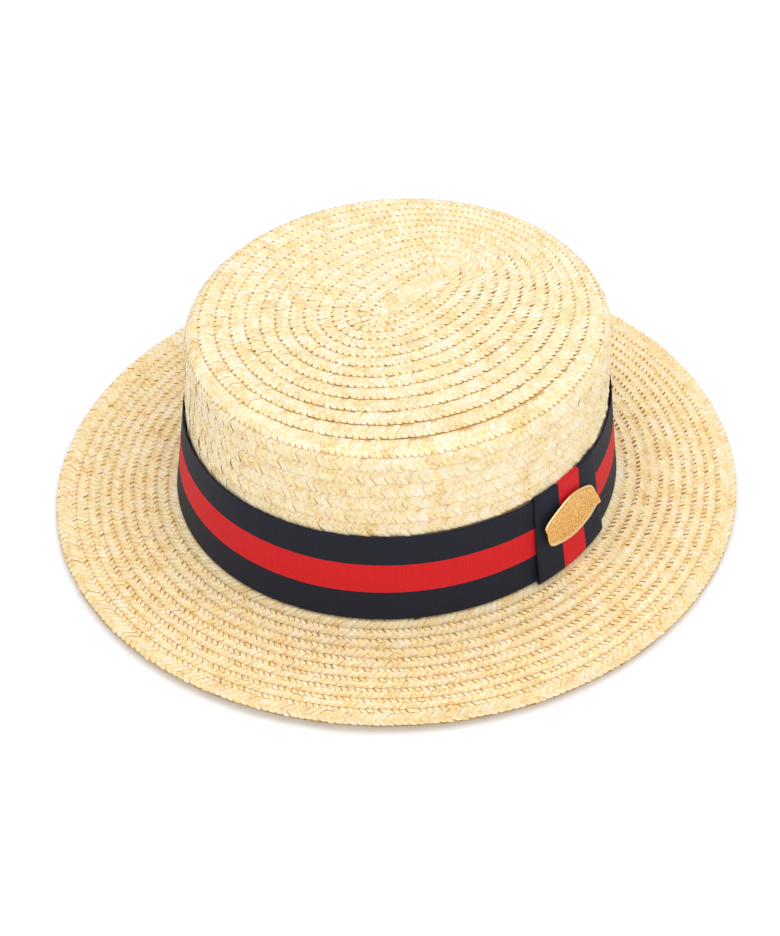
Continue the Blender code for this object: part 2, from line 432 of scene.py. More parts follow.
def noise(tree, place, scale, detail=2.0, roughness=0.5):
    node = add_node(tree, "ShaderNodeTexNoise", {
        "Vector": place, "Scale": scale, "Detail": detail, "Roughness": roughness})
    return node.outputs[0]


def colour_ramp(tree, value, stops):
    """Colours between stops. Columns of a stop: place, colour."""
    node = add_node(tree, "ShaderNodeValToRGB", {"Fac": value})
    elements = node.color_ramp.elements
    for element, (place, colour) in zip(elements, (stops[0], stops[-1])):
        element.position = place
        element.color = (*colour, 1)
    for place, colour in stops[1:-1]:
        elements.new(place).color = (*colour, 1)
    return node.outputs["Color"]


def blended(tree, share, first, second):
    node = tree.nodes.new("ShaderNodeMix")
    node.data_type = "RGBA"
    for socket, value in zip(used(node.inputs), (share, (*first, 1), (*second, 1))):
        put(socket, value)
    return used(node.outputs)[0]


# %% [markdown]
# ## Laying stitches along a path
#
# A geometry node tree does the plaiting. It takes the path, cuts it into equal steps, puts a
# stitch on each step with its back to the hat, and shifts and turns every one a little, because
# straw is never quite even. Then it widens or narrows the outer ends by the path's fullness, which
# closes or opens the notches. Each strip gets a tone of its own, mixed with one that a few
# neighbours share, since one splint runs through several stitches.

# %% the node tree that lays the plait
WIDENS_FROM = 0.0018
WIDENS_TO = 0.0023
WIDENS_BY = 0.0021
BACKING_SHADE = 0.99
STRIPS_IN_STITCH = 4.0
STRIPS_OF_ONE_TONE = 12
OWN_TONE = 0.7
SECOND_SEED = 17


def stored(tree, name, kind="FLOAT"):
    """What the points keep under a name."""
    node = add_node(tree, "GeometryNodeInputNamedAttribute", {"Name": name}, data_type=kind)
    return node.outputs["Attribute"]


def store(tree, geometry, name, value, kind, domain):
    node = add_node(
        tree, "GeometryNodeStoreNamedAttribute", {"Geometry": geometry, "Name": name},
        data_type=kind, domain=domain)
    put([s for s in used(node.inputs) if s.name == "Value"][0], value)
    return node.outputs["Geometry"]


def random_vector(tree, shares, reach, seed):
    """A random vector within a reach either way, which has its own share on each axis."""
    high = vector_maths(tree, "SCALE", shares, reach)
    low = vector_maths(tree, "SCALE", high, -1.0)
    node = add_node(
        tree, "FunctionNodeRandomValue", {"Min": low, "Max": high, "Seed": seed},
        data_type="FLOAT_VECTOR")
    return node.outputs["Value"]


def random_number(tree, number, seed):
    node = add_node(
        tree, "FunctionNodeRandomValue", {"ID": number, "Seed": seed}, data_type="FLOAT")
    return used(node.outputs)[0]


def plait_tree():
    tree = bpy.data.node_groups.new("lay_plait", "GeometryNodeTree")
    given, result = add_sockets(tree, (
        ("Path", "Geometry"), ("Stitch", "Object"), ("Step", "Float"), ("Stretch", "Float"),
        ("Shift", "Float"), ("Turn", "Float"), ("Seed", "Int"), ("Finish", "Material")),
        (("Plait", "Geometry"),))
    along = stored(tree, "along", "FLOAT_VECTOR")
    second_seed = add_node(tree, "FunctionNodeIntegerMath", {}, operation="ADD")
    put(second_seed.inputs[0], given["Seed"])
    put(second_seed.inputs[1], SECOND_SEED)
    second_seed = second_seed.outputs["Value"]

    # Steps along the path, each moved a little
    curve = add_node(tree, "GeometryNodeMeshToCurve", {"Mesh": given["Path"]})
    steps = add_node(tree, "GeometryNodeResampleCurve", {
        "Curve": curve.outputs["Curve"], "Length": given["Step"]}, mode="LENGTH")
    shift = random_vector(tree, (1.0, 1.0, 0.6), given["Shift"], given["Seed"])
    moved = add_node(tree, "GeometryNodeSetPosition", {
        "Geometry": steps.outputs["Curve"], "Offset": shift})

    # A stitch on each step, with its back to the hat and turned a little
    facing = add_node(tree, "FunctionNodeAxesToRotation", {
        "Primary Axis": stored(tree, "surface_up", "FLOAT_VECTOR"), "Secondary Axis": along},
        primary_axis="Z", secondary_axis="X")
    lean = random_vector(tree, (0.8, 0.5, 1.0), given["Turn"], second_seed)
    as_turn = add_node(tree, "FunctionNodeEulerToRotation", {"Euler": lean})
    turned = add_node(tree, "FunctionNodeRotateRotation", {
        "Rotation": facing.outputs["Rotation"], "Rotate By": as_turn.outputs["Rotation"]},
        rotation_space="LOCAL")
    stitch = add_node(tree, "GeometryNodeObjectInfo", {"Object": given["Stitch"]})
    stretch = add_node(tree, "ShaderNodeCombineXYZ", {"X": given["Stretch"], "Y": 1.0, "Z": 1.0})
    lay = add_node(tree, "GeometryNodeInstanceOnPoints", {
        "Points": moved.outputs["Geometry"], "Instance": stitch.outputs["Geometry"],
        "Rotation": turned.outputs["Rotation"], "Scale": stretch.outputs["Vector"]})
    index = tree.nodes.new("GeometryNodeInputIndex").outputs["Index"]
    numbered = store(
        tree, lay.outputs["Instances"], "stitch_number", index, "INT", "INSTANCE")
    real = add_node(tree, "GeometryNodeRealizeInstances", {"Geometry": numbered})

    # Outer ends made fuller or leaner, without the strips under them that are painted dark as shade
    fibre = split(tree, stored(tree, "fibre", "FLOAT_VECTOR"))
    outer = ranged(tree, fibre["Y"], WIDENS_FROM, WIDENS_TO, 0.0, WIDENS_BY)
    reach = maths(tree, "MULTIPLY", outer, fibre["X"])
    growth = maths(
        tree, "MULTIPLY", maths(tree, "SUBTRACT", stored(tree, "fullness"), 1.0),
        maths(tree, "LESS_THAN", fibre["Z"], BACKING_SHADE))
    aside = vector_maths(tree, "SCALE", along, maths(tree, "MULTIPLY", reach, growth))
    widened = add_node(tree, "GeometryNodeSetPosition", {
        "Geometry": real.outputs["Geometry"], "Offset": aside})

    # Tones
    number = maths(
        tree, "MULTIPLY_ADD", stored(tree, "stitch_number", "INT"), STRIPS_IN_STITCH,
        stored(tree, "splint"))
    own = random_number(tree, number, given["Seed"])
    together = maths(tree, "FLOOR", maths(tree, "MULTIPLY", number, 1 / STRIPS_OF_ONE_TONE))
    shared = maths(
        tree, "MULTIPLY", random_number(tree, together, second_seed), 1 - OWN_TONE)
    tone = maths(tree, "MULTIPLY_ADD", own, OWN_TONE, shared)
    toned = store(tree, widened.outputs["Geometry"], "tone", tone, "FLOAT", "POINT")
    paint = add_node(tree, "GeometryNodeSetMaterial", {
        "Geometry": toned, "Material": given["Finish"]})
    put(result["Plait"], paint.outputs["Geometry"])
    return tree


def plain_object(source, name):
    """The evaluated shape of an object as a plain mesh, in the object's place."""
    graph = bpy.context.evaluated_depsgraph_get()
    mesh = bpy.data.meshes.new_from_object(source.evaluated_get(graph))
    mesh.name = name
    made = link_object(name, mesh)
    bpy.data.objects.remove(source)
    return made


def lay_plait(name, path, stitch, step, seed, finish, unevenness=1.0):
    """A piece of plait along a path, made plain."""
    modifier = path.modifiers.new("plait", "NODES")
    modifier.node_group = plait_nodes
    values = {
        "Stitch": stitch, "Step": step, "Stretch": step / (STITCH * MILLIMETRE),
        "Shift": 0.00013 * unevenness, "Turn": 0.055 * unevenness, "Seed": seed,
        "Finish": finish}
    for item in plait_nodes.interface.items_tree:
        if item.in_out == "INPUT" and item.name in values:
            modifier[item.identifier] = values[item.name]
    bpy.context.view_layer.update()
    made = plain_object(path, name)
    print(name, "faces", len(made.data.polygons))
    return made


plait_nodes = plait_tree()

# %% [markdown]
# ## Straw
#
# Bleached straw runs from near white to golden tan, and one length of it keeps its tone for a few
# stitches. So the colour follows four things: fine specks, the strip's own tone, a slow patch
# noise over the hat, and streaks along the fibre. A faint cloud turns it a little cooler or
# warmer. The creases between splints are painted brown, as painted shade for the little light that
# reaches them through straw, and the strips under the notches are painted darkest, as painted
# shade. The surface has a soft waxy shine.

# %% straw finishes
FIBRE_SPREAD = (5.5, 420.0, 0.0)
STREAK_JUMP = 91.0
STRAW_COLOURS = (
    (0.14, (0.70, 0.43, 0.16)), (0.32, (0.87, 0.66, 0.32)), (0.52, (0.95, 0.82, 0.53)),
    (0.69, (0.97, 0.89, 0.65)), (0.86, (0.99, 0.96, 0.84)))
CREASE_SHADE_COLOURS = (
    (0.0, (1.0, 1.0, 1.0)), (0.22, (0.97, 0.92, 0.80)), (0.50, (0.82, 0.63, 0.36)),
    (0.80, (0.50, 0.31, 0.12)), (1.0, (0.36, 0.19, 0.06)))


def straw_colour_group():
    """Straw's colour from its tone number, its place and the painted shade of its creases."""
    group = bpy.data.node_groups.new("straw_colour", "ShaderNodeTree")
    given, result = add_sockets(group, (
        ("Tone", "Float"), ("Place", "Vector"), ("Fibre", "Vector"), ("Patch", "Float"),
        ("Tint", "Color")), (("Color", "Color"), ("Grain", "Float")))
    place = given["Place"]
    spread = vector_maths(group, "MULTIPLY", given["Fibre"], FIBRE_SPREAD)
    jump = add_node(group, "ShaderNodeCombineXYZ", {
        "Z": maths(group, "MULTIPLY", given["Tone"], STREAK_JUMP)})
    streak = noise(group, vector_maths(group, "ADD", spread, jump.outputs["Vector"]), 1.0)
    patch = noise(group, place, given["Patch"], 3.0, 0.6)
    shade = 0.0
    for value, weight in (
            (ranged(group, noise(group, place, 1150.0), 0.38, 0.62), 0.32),
            (given["Tone"], 0.34),
            (ranged(group, patch, 0.32, 0.68), 0.18),
            (ranged(group, streak, 0.34, 0.66), 0.30)):
        shade = maths(group, "MULTIPLY_ADD", value, weight, shade)
    cloud = ranged(group, noise(group, place, 240.0), 0.36, 0.64)
    colour = colour_ramp(group, shade, STRAW_COLOURS)
    # The first factor is painted shade: brown in the creases and darkest on the strips under the
    # notches.
    for factor in (
            colour_ramp(group, split(group, given["Fibre"])["Z"], CREASE_SHADE_COLOURS),
            blended(group, cloud, (1.0, 0.98, 1.04), (1.0, 0.985, 0.84)),
            given["Tint"]):
        colour = vector_maths(group, "MULTIPLY", colour, factor)
    put(result["Color"], colour)
    put(result["Grain"], streak)
    return group


def new_material(name, roughness, metallic=0.0):
    material = bpy.data.materials.new(name)
    material.use_nodes = True
    shader = material.node_tree.nodes["Principled BSDF"]
    shader.inputs["Roughness"].default_value = roughness
    shader.inputs["Metallic"].default_value = metallic
    return material, material.node_tree, shader.inputs


def object_place(tree):
    return tree.nodes.new("ShaderNodeTexCoord").outputs["Object"]


def add_bump(tree, look, height, strength, distance):
    bump = add_node(tree, "ShaderNodeBump", {
        "Height": height, "Strength": strength, "Distance": distance})
    put(look["Normal"], bump.outputs["Normal"])


def plait_finish(name, tint):
    material, tree, look = new_material(name, 0.52)
    tone = add_node(tree, "ShaderNodeAttribute", {}, attribute_name="tone")
    fibre = add_node(tree, "ShaderNodeAttribute", {}, attribute_name="fibre")
    group = tree.nodes.new("ShaderNodeGroup")
    group.node_tree = straw_nodes
    for label, value in (
            ("Patch", 95.0), ("Tint", (*tint, 1)), ("Place", object_place(tree)),
            ("Tone", tone.outputs["Fac"]), ("Fibre", fibre.outputs["Vector"])):
        put(group.inputs[label], value)
    add_bump(tree, look, group.outputs["Grain"], 0.35, 0.00015)
    put(look["Base Color"], group.outputs["Color"])
    look["Specular IOR Level"].default_value = 0.3
    return material


def core_finish(name):
    """Straw seen deep between the splints, a darker brown that is partly its own colour and partly
    painted shade.
    """
    material, tree, look = new_material(name, 0.8)
    grain = noise(tree, object_place(tree), 400.0)
    # Painted shade: a darker, warmer brown than the straw on top, partly the straw's own colour.
    put(look["Base Color"], colour_ramp(
        tree, grain, ((0.0, (0.60, 0.34, 0.11)), (1.0, (0.80, 0.52, 0.22)))))
    return material


straw_nodes = straw_colour_group()
straw = plait_finish("bleached_straw", (0.965, 0.925, 0.90))
straw_brim = plait_finish("bleached_straw_brim", (0.97, 0.915, 0.86))
straw_core = core_finish("straw_between_painted_shade")
print("straw finishes", straw.name, straw_brim.name, straw_core.name)

# %% [markdown]
# ## Shells of rings
#
# A thin shell stands half way through the straw and closes the gaps between splints, as the
# layers underneath do on the real hat. Its darker brown is partly the straw's own colour and partly
# painted shade for the depth seen through the gaps. It's a row of rings joined to a closed surface,
# and the gold plate further down is made the same way.

# %% shells
CORE_HALF = 0.00012
RING_POINTS = 144


def ring_mesh(name, rings, close_ends, material):
    """Rings of points joined to a closed shell, with end faces or else round to the first ring."""
    count = len(rings[0])
    last = len(rings) - 1
    verts = [tuple(p) for ring in rings for p in ring]
    faces = []
    pairs = [(k, k + 1) for k in range(last)]
    if not close_ends:
        pairs.append((last, 0))
    for k, n in pairs:
        for i in range(count):
            j = (i + 1) % count
            faces.append((k * count + i, n * count + i, n * count + j, k * count + j))
    if close_ends:
        for k, flip in ((0, False), (last, True)):
            centre = len(verts)
            verts.append(tuple(np.mean(rings[k], axis=0)))
            for i in range(count):
                a = k * count + i
                b = k * count + (i + 1) % count
                faces.append((centre, b, a) if flip else (centre, a, b))
    mesh = bpy.data.meshes.new(name)
    mesh.from_pydata(verts, [], faces)
    work = bmesh.new()
    work.from_mesh(mesh)
    bmesh.ops.recalc_face_normals(work, faces=work.faces)
    work.to_mesh(mesh)
    work.free()
    mesh.shade_smooth()
    mesh.materials.append(material)
    return link_object(name, mesh)


def core_shell(name, surface, rows, close_ends):
    """A thin closed shell on both sides of a surface."""
    around = np.linspace(0, 2 * math.pi, RING_POINTS + 1)[:-1]
    outside, inside = [], []
    for row in rows:
        level = np.full(around.shape, float(row))
        _, up = surface_directions(surface, level, around)
        outside.append(surface(level, around) + up * CORE_HALF)
        inside.append(surface(level, around) - up * CORE_HALF)
    return ring_mesh(name, outside + inside[::-1], close_ends, straw_core)


# %% [markdown]
# ## Bending the plait over the shoulder
#
# The maker steams the sewn crown and presses it over a block, and the plait bends round the
# shoulder. The stitches are laid straight, so near the shoulder they would stand off. Each point
# knows how far across the plait it lies. So the middle of its stitch is found on the crown's
# profile first, and then the point is set again at its own distance along that curve. What
# stands up there is pressed down to a fraction of a millimetre.

# %% bend over the shoulder
SEARCH_REACH = 0.1
SEARCH_STEPS = 30
BENT_FROM = -0.012
PRESSED_LIFT = 0.0008
FREE_TIP_LIFT = 0.0022
FREE_TIP_AFTER = 0.014
FREE_WALL_LIFT = 0.02
FREE_WALL_FROM = 0.004
FREE_WALL_OVER = 0.01


def shoulder_line(place):
    """Point, direction and normal of the crown's profile at a distance past the tip's edge."""
    radius = SHOULDER_RADIUS - STRAW_WALL / 2
    arc = np.clip(place / radius, 0.0, math.pi / 2)
    before = np.minimum(place, 0.0)
    after = np.maximum(place - radius * math.pi / 2, 0.0)
    point = np.stack([radius * np.sin(arc) + before, radius * np.cos(arc) - after])
    return point, np.stack([np.cos(arc), -np.sin(arc)]), np.stack([np.sin(arc), np.cos(arc)])


def bend_over_shoulder(piece):
    """Bends straight stitches round the shoulder, as a hat block does."""
    mesh = piece.data
    count = len(mesh.vertices)
    values = np.empty(count * 3, np.float32)
    mesh.vertices.foreach_get("co", values)
    points = values.reshape(-1, 3).astype(float)
    mesh.attributes["fibre"].data.foreach_get("vector", values)
    across = values.reshape(-1, 3)[:, 1].astype(float)
    edge_width = HALF_WIDTH + TIP_OUTSET
    edge_length = HALF_LENGTH + TIP_OUTSET
    angle = np.arctan2(points[:, 1] / edge_length, points[:, 0] / edge_width)
    reach = np.hypot(points[:, 0], points[:, 1])
    edge = np.hypot(edge_width * np.cos(angle), edge_length * np.sin(angle))
    seen = np.stack([reach - edge, points[:, 2] - SHOULDER_FOOT])
    near = np.full(count, -SEARCH_REACH)
    far = np.full(count, SEARCH_REACH)
    for _ in range(SEARCH_STEPS):
        middle = (near + far) / 2
        point, direction, _ = shoulder_line(middle)
        beyond = np.sum(direction * (seen - point), axis=0) > across
        near = np.where(beyond, middle, near)
        far = np.where(beyond, far, middle)
    point, _, normal = shoulder_line(near)
    lift = np.sum(normal * (seen - point), axis=0)
    limit = PRESSED_LIFT + FREE_TIP_LIFT * clamp01(-near / FREE_TIP_AFTER)
    limit = limit + FREE_WALL_LIFT * clamp01((near - FREE_WALL_FROM) / FREE_WALL_OVER)
    lift = np.where(lift > 0, limit * np.tanh(lift / limit), lift)
    point, _, normal = shoulder_line(near + across)
    bent = point + normal * lift
    scale = np.where(seen[0] > BENT_FROM, (edge + bent[0]) / np.maximum(reach, 1e-6), 1.0)
    points[:, 0] *= scale
    points[:, 1] *= scale
    points[:, 2] = SHOULDER_FOOT + bent[1]
    mesh.vertices.foreach_set("co", points.astype(np.float32).ravel())
    mesh.update()


# %% [markdown]
# ## The crown
#
# The plait goes on both faces of the crown, fine outside and plain inside. It's split in a tip and
# a side piece, so that no piece grows too large, and the split lies on the shoulder's own row. On
# the tip the stitches are leanest on one side, where the maker drew the plait tight round the
# turn: there the rows look like ladders. The plain plait inside ends in a level turn at the foot.

# %% the crown
TIP_LAST_ROW = TIP_ROWS + 1.3
SIDE_FOOT = 0.0445
LINING_FOOT = 0.0125
CORE_FOOT = 0.0088

shoulder_rows = SHOULDER_LENGTH / WALL_ROW
core_rows = [0.02, 1, 3, 5, 7, 10, TIP_ROWS - 0.02]
core_rows += [TIP_ROWS + 0.02 + share * shoulder_rows for share in (0.2, 0.4, 0.6, 0.8, 1.02)]
core_rows += [TIP_ROWS + shoulder_rows + 0.5, row_below(RIBBON_TOP), row_below(CORE_FOOT)]
crown_core = core_shell("crown_core", crown_middle, core_rows, True)

rows, angles = crown_path(TIP_START, TIP_LAST_ROW)
fullness = 1.40 - 0.84 * openness(angles, 58, 46) * (1 - 0.35 * smooth((rows - 8) / 4))
path = guide_object("tip_path", crown_middle, rows, angles, fullness)
tip_plait = lay_plait("crown_tip_plait", path, tip_stitch, 0.0026, 3, straw)

rows, angles = crown_path(TIP_LAST_ROW, row_below(SIDE_FOOT))
path = guide_object("side_path", crown_middle, rows, angles, 1.12)
side_plait = lay_plait("crown_side_plait", path, wall_stitch, 0.0027, 5, straw, 1.3)

lowest_row = row_below(LINING_FOOT)
rows, angles = crown_path(TIP_START, lowest_row + WALL_SHIFT + 0.92)
path = guide_object("lining_path", crown_middle, np.minimum(rows, lowest_row), angles, 1.0)
lining_plait = lay_plait("crown_inside_plait", path, plain_stitch, 0.0031, 7, straw)
for piece in (tip_plait, side_plait, lining_plait):
    bend_over_shoulder(piece)

# %% [markdown]
# ## The brim
#
# The plait goes on past the foot of the wall in nearly level rows. The last row is sewn a little
# further out, so it shows wider than the others, and with no row over it its herringbone lies
# open: it's a piece of its own. Each turn here keeps its distance for most of the way round and
# steps out to the next one at the back, so that the rim stays an even oval. The path starts a
# little before the first turn, so that no wedge stays bare there.

# %% the brim
TURN_POINTS = 240
LEAD_IN = 29
BRIM_STEP_START = 0.85
BRIM_SEAM_ANGLE = math.radians(119)
BRIM_ROWS = [0.0051, 0.0101, 0.0151, 0.0201, 0.0251, 0.0301, 0.0351, 0.0401, 0.0451, 0.0517]
BRIM_CORE_ROWS = [0.0008, 0.010, 0.022, 0.034, 0.0465, 0.0485, 0.0549]


def brim_path():
    """Outsets and angles of the plait on the brim."""
    turns = np.arange(-LEAD_IN, len(BRIM_ROWS) * TURN_POINTS) / TURN_POINTS
    row = np.clip(np.floor(turns).astype(int), 0, len(BRIM_ROWS) - 1)
    after = np.minimum(row + 1, len(BRIM_ROWS) - 1)
    table = np.array(BRIM_ROWS)
    share = smooth((turns - row - BRIM_STEP_START) / (1 - BRIM_STEP_START))
    outset = table[row] + (table[after] - table[row]) * share
    return outset, BRIM_SEAM_ANGLE - turns * 2 * math.pi


brim_core = core_shell("brim_core", brim_middle, BRIM_CORE_ROWS, False)
rows, angles = brim_path()
rim_start = (len(BRIM_ROWS) - 1) * TURN_POINTS + LEAD_IN
row_share = np.arange(rim_start) / rim_start
fullness = 1.30 + 0.12 * smooth((row_share - 0.75) * 6)
fullness = fullness - 0.68 * openness(angles[:rim_start], 60, 60) * (1 - 0.8 * row_share)
path = guide_object("brim_path", brim_middle, rows[:rim_start], angles[:rim_start], fullness)
brim_plait = lay_plait("brim_plait", path, brim_stitch, 0.0026, 11, straw_brim)
path = guide_object("rim_path", brim_middle, rows[rim_start:], angles[rim_start:], 1.0)
rim_plait = lay_plait("brim_rim_plait", path, rim_stitch, 0.0029, 12, straw_brim)
path = guide_object("brim_under_path", brim_middle, rows, angles, 1.0)
under_plait = lay_plait("brim_underside_plait", path, plain_stitch, 0.0030, 13, straw_brim)

# %% [markdown]
# ## The ribbon
#
# Grosgrain ribbon has fine ribs across its width, made by a thick weft under a dense warp. It's
# navy with a red stripe, each a third of the width. The band is stretched round the crown, and
# its map runs in metres, so that ribs and stripes keep their real size when the shape changes.

# %% ribbon finish
RIB_SPACING = 0.00062
STRIPE_WOBBLE = 0.0003
NAVY = (0.0085, 0.0105, 0.0225)
RED = (0.66, 0.009, 0.014)


def ribbon_finish(name):
    material, tree, look = new_material(name, 0.72)
    uv = add_node(tree, "ShaderNodeUVMap", {}, uv_map="cloth").outputs["UV"]
    place = split(tree, uv)
    edge = maths(tree, "MULTIPLY_ADD", noise(tree, uv, 420.0), STRIPE_WOBBLE, place["Y"])
    stripe = maths(
        tree, "MULTIPLY",
        maths(tree, "GREATER_THAN", edge, RIBBON_WIDTH / 3 + STRIPE_WOBBLE / 2),
        maths(tree, "LESS_THAN", edge, RIBBON_WIDTH * 2 / 3 + STRIPE_WOBBLE / 2))
    ribs = maths(tree, "SINE", maths(tree, "MULTIPLY", place["X"], 2 * math.pi / RIB_SPACING))
    fine = noise(tree, uv, 1500.0, 3.0)
    add_bump(tree, look, maths(tree, "MULTIPLY_ADD", ribs, 0.7, fine), 0.6, 0.00012)
    shade = ranged(tree, fine, 0.2, 0.8, 0.82, 1.15)
    put(look["Base Color"], vector_maths(tree, "SCALE", blended(tree, stripe, NAVY, RED), shade))
    for label, value in (
            ("Specular IOR Level", 0.25), ("Sheen Weight", 0.04), ("Sheen Roughness", 0.4),
            ("Sheen Tint", (0.9, 0.9, 1.0, 1))):
        put(look[label], value)
    return material


ribbon_cloth = ribbon_finish("striped_grosgrain")
print("ribbon finish", ribbon_cloth.name)

# %% the band
BAND_CLOTH = 0.0006
BAND_GAP = 0.00085
BAND_LIFT = 0.0001
BAND_SEGMENTS = 288
BAND_LEVELS = [0.0, 0.02, 0.1, 0.25, 0.4, 0.5, 0.6, 0.75, 0.9, 0.98, 1.0]


def lengths_along(lines):
    """Distances from the first line of a grid to every other, measured at its middle."""
    middle = np.array([line[len(line) // 2] for line in lines])
    steps = np.linalg.norm(middle[1:] - middle[:-1], axis=1)
    return [0.0] + np.cumsum(steps).tolist()


def cloth_strip(name, grid, shares, closed, thickness):
    """A strip of ribbon from a grid of points [along][across], with its map in metres."""
    count = len(grid[0])
    across_m = [RIBBON_WIDTH * share for share in shares]
    along_m = lengths_along(grid + grid[:1] if closed else grid)
    faces, maps = [], []
    for k in range(len(along_m) - 1):
        n = (k + 1) % len(grid)
        for i in range(count - 1):
            faces.append((k * count + i, n * count + i, n * count + i + 1, k * count + i + 1))
            low, high = along_m[k], along_m[k + 1]
            maps += [(low, across_m[i]), (high, across_m[i])]
            maps += [(high, across_m[i + 1]), (low, across_m[i + 1])]
    mesh = bpy.data.meshes.new(name)
    mesh.from_pydata([tuple(p) for line in grid for p in line], [], faces)
    layer = mesh.uv_layers.new(name="cloth")
    layer.uv.foreach_set("vector", np.array(maps, np.float32).ravel())
    mesh.shade_smooth()
    mesh.materials.append(ribbon_cloth)
    obj = link_object(name, mesh)
    thick = obj.modifiers.new("cloth", "SOLIDIFY")
    thick.thickness = thickness
    thick.offset = 0.0
    thick.use_even_offset = False
    bpy.context.view_layer.update()
    return plain_object(obj, name), along_m[-1]


def band_grid():
    """The band stands a little off the straw, with faint waves and edges that lift."""
    grid = []
    for k in range(BAND_SEGMENTS):
        angle = 2 * math.pi * k / BAND_SEGMENTS
        sway = 0.00010 * math.sin(7 * angle) + 0.00008 * math.sin(13 * angle + 1)
        line = []
        for share in BAND_LEVELS:
            height = CROWN_FOOT + BAND_LIFT + RIBBON_WIDTH * share
            edge = 0.00012 * abs(2 * share - 1) ** 4
            outset = float(crown_outset(height)) + BAND_GAP + sway * share + edge
            line.append(oval(outset, angle, height))
        grid.append(line)
    return grid


band, band_length = cloth_strip("ribbon_around", band_grid(), BAND_LEVELS, True, BAND_CLOTH)
print("ribbon length", round(band_length, 4))

# %% [markdown]
# ## The upright length of ribbon
#
# On the wearer's left a short length of the same ribbon stands upright over the join. It's tucked
# in at the foot, rises in a soft curve with its heel out on the brim, and folds over the band's
# top edge down behind it.

# %% the upright length
WRAP_MIDDLE = math.radians(17.0)
WRAP_CLOTH = 0.0005
WRAP_GAP = 0.0013
WRAP_COLUMNS = 24
WRAP_REACH = 0.044
WRAP_SLANT = 0.0006
WRAP_BELLY = 0.00035

# Profile from the tuck under the heel to the fold behind the band.
# Columns: up from the crown's foot, out from the band.
WRAP_PROFILE = (
    (0.0035, 0.0004), (0.0012, 0.0007), (0.0003, 0.0014), (0.0003, 0.0023), (0.0014, 0.0028),
    (0.0038, 0.0027), (0.0080, 0.0022), (0.0150, 0.0015), (0.0235, 0.0010), (0.0320, 0.0007),
    (0.0395, 0.0006), (0.0418, 0.0007), (0.0428, 0.0004), (0.0431, -0.0002), (0.0428, -0.0009),
    (0.0414, -0.0012), (0.0385, -0.0013))


def arc_angle(distance):
    """Angle at a distance along the band from the middle of the upright length."""
    radius = math.hypot(
        (HALF_WIDTH + STRAW_WALL) * math.sin(WRAP_MIDDLE),
        (HALF_LENGTH + STRAW_WALL) * math.cos(WRAP_MIDDLE))
    return WRAP_MIDDLE + distance / radius


def soft_profile(profile):
    """The profile with three more points in each gap and its corners rounded."""
    knots = np.arange(len(profile))
    fine = np.linspace(0, len(profile) - 1, 4 * (len(profile) - 1) + 1)
    points = np.array([np.interp(fine, knots, column) for column in zip(*profile)])
    for _ in range(3):
        points[:, 1:-1] = (points[:, :-2] + 2 * points[:, 1:-1] + points[:, 2:]) / 4
    return points.T


def wrap_grid(shares):
    grid = []
    for up, out in soft_profile(WRAP_PROFILE):
        height = CROWN_FOOT + up
        rise = up / WRAP_REACH
        line = []
        for share in shares:
            side = (share - 0.5) * RIBBON_WIDTH
            angle = arc_angle(side + WRAP_SLANT * (rise - 0.5))
            belly = WRAP_BELLY * (1 - (2 * share - 1) ** 2) * math.sin(math.pi * clamp01(rise))
            wall = float(crown_outset(min(height, RIBBON_TOP)))
            line.append(oval(wall + WRAP_GAP + out + belly, angle, height))
        grid.append(line)
    return grid


wrap_shares = [i / WRAP_COLUMNS for i in range(WRAP_COLUMNS + 1)]
wrap, wrap_length = cloth_strip(
    "ribbon_upright", wrap_grid(wrap_shares), wrap_shares, False, WRAP_CLOTH)
print("upright length", round(wrap_length, 4))

# %% [markdown]
# ## The plate
#
# A small plate is stamped from gold-coloured sheet. Its face is sand-matt and its edge is a bright
# polished roll. The outline is drawn once and smoothed, then the roll and the face are rings
# of points inside it. It stays plain, with nothing stamped on it.

# %% plate finish and shape
PLATE_HALF = np.array((0.0181, 0.01075))
PLATE_ANGLE = math.radians(16.6)
PLATE_HEIGHT = CROWN_FOOT + 0.0253
PLATE_OUTSET = 0.00354
PLATE_LEAN = TAPER_BEHIND_RIBBON / RIBBON_WIDTH
FACE_FROM_RING = 8

# Columns: along (share of half the length), up (share of half the height).
PLATE_OUTLINE = (
    (-1, .39), (-.85, .60), (-.57, .78), (-.28, .93), (0, 1), (.28, .94), (.55, .79), (.73, .56),
    (.85, .12), (1, -.47), (.87, -.49), (.75, -.62), (.59, -.79), (.31, -.93), (.03, -1),
    (-.24, -.97), (-.46, -.89), (-.71, -.76), (-.86, -.60), (-.92, -.33), (-.95, 0))

# From the back's edge over the roll to the face. Columns: in from the outline, out from the back.
PLATE_PROFILE = (
    (0.0005, 0.0), (0.0001, 0.0001), (0.0, 0.0004), (0.0, 0.0008), (0.00015, 0.00115),
    (0.0004, 0.0013), (0.0007, 0.0012), (0.00092, 0.00092), (0.0011, 0.0008), (0.0022, 0.00085))


def polished_gold():
    material, _, look = new_material("polished_gold", 0.16, 1.0)
    look["Base Color"].default_value = (0.95, 0.68, 0.33, 1)
    return material


def sanded_gold():
    material, tree, look = new_material("sanded_gold", 0.42, 1.0)
    sand = noise(tree, object_place(tree), 1500.0, 1.0)
    put(look["Base Color"], colour_ramp(
        tree, sand, ((0.36, (0.64, 0.36, 0.13)), (0.62, (0.98, 0.68, 0.30)))))
    add_bump(tree, look, sand, 0.7, 0.0002)
    return material


def smooth_outline(points, per_side):
    """A rounded closed line through the points."""
    points = np.array(points, float)
    count = len(points)
    line = []
    for k in range(count):
        a, b, c, d = (points[(k + s) % count] for s in (-1, 0, 1, 2))
        for i in range(per_side):
            t = i / per_side
            line.append(
                0.5 * (2 * b + (c - a) * t + (2 * a - 5 * b + 4 * c - d) * t * t
                       + (3 * b - a - 3 * c + d) * t ** 3))
    return np.array(line)


